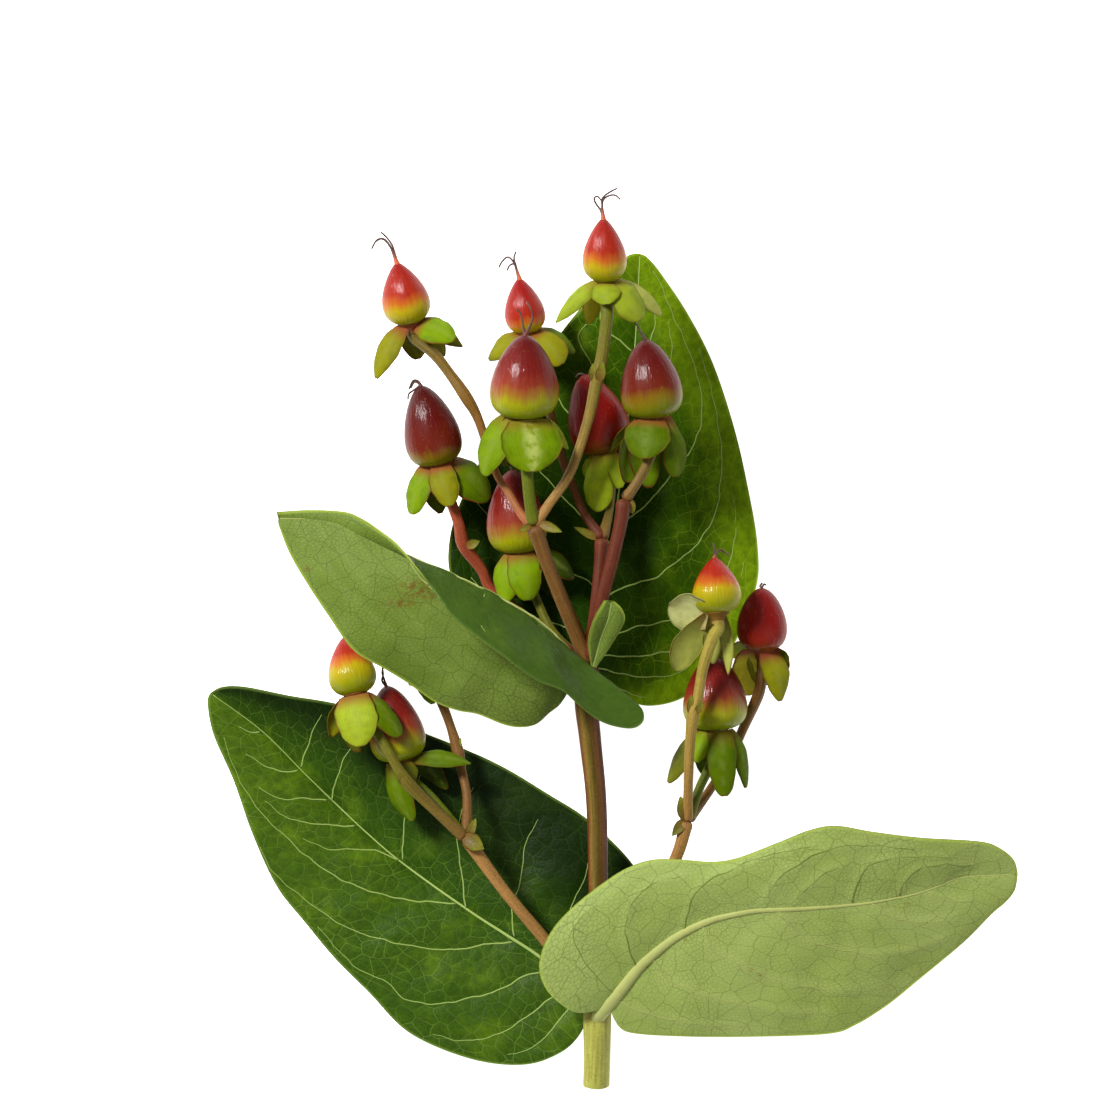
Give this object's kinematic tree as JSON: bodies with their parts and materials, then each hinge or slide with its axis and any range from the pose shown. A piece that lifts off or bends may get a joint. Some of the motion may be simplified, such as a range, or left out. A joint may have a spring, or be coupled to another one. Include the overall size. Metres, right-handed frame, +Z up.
{
  "type": "hypericum berry stem",
  "caption": "Cut hypericum stem with clusters of glossy red and yellow-green berries on reflexed sepals, and large broad leaves, lying flat.",
  "frame": {"origin": "middle of the bounding box at the surface that the stem lies on", "axes": "+Y towards the stem's tip, +X to the right as seen from above, +Z up from the surface"},
  "size_m": [0.138, 0.1522, 0.0339],
  "materials": {
    "stem": "reddish brown bark, olive green in places, satin",
    "leaf_top": "deep green waxy upper side with pale veins",
    "leaf_underside": "matte sage green lower side with a fine darker net",
    "calyx": "satin yellow-green",
    "berry_ripe": "glossy dark red skin, yellow-green at the base",
    "berry_young": "glossy bright red skin, yellow-green at the base"
  },
  "bodies": {
    "root": {"stem": "stem", "leaf_upper_back": "leaf_top", "leaf_upper_front": "leaf_underside", "leaf_lower_left": "leaf_top", "leaf_lower_right": "leaf_underside", "leaf_young": "calyx", "berry_top": "berry_young", "calyx_top": "calyx", "berry_upper_left": "berry_young", "calyx_upper_left": "calyx", "berry_upper_middle": "berry_young", "calyx_upper_middle": "calyx", "berry_front": "berry_ripe", "calyx_front": "calyx", "berry_left": "berry_ripe", "calyx_left": "calyx", "berry_middle_right": "berry_ripe", "calyx_middle_right": "calyx", "berry_right": "berry_ripe", "calyx_right": "calyx", "berry_middle_low": "berry_ripe", "calyx_middle_low": "calyx", "berry_side_upper": "berry_young", "calyx_side_upper": "calyx", "berry_side_right": "berry_ripe", "calyx_side_right": "calyx", "berry_side_lower": "berry_ripe", "calyx_side_lower": "calyx", "berry_low_left": "berry_young", "calyx_low_left": "calyx", "berry_low_middle": "berry_ripe", "calyx_low_middle": "calyx", "berry_low_hidden": "berry_ripe", "calyx_low_hidden": "calyx"}
  },
  "joints": []
}
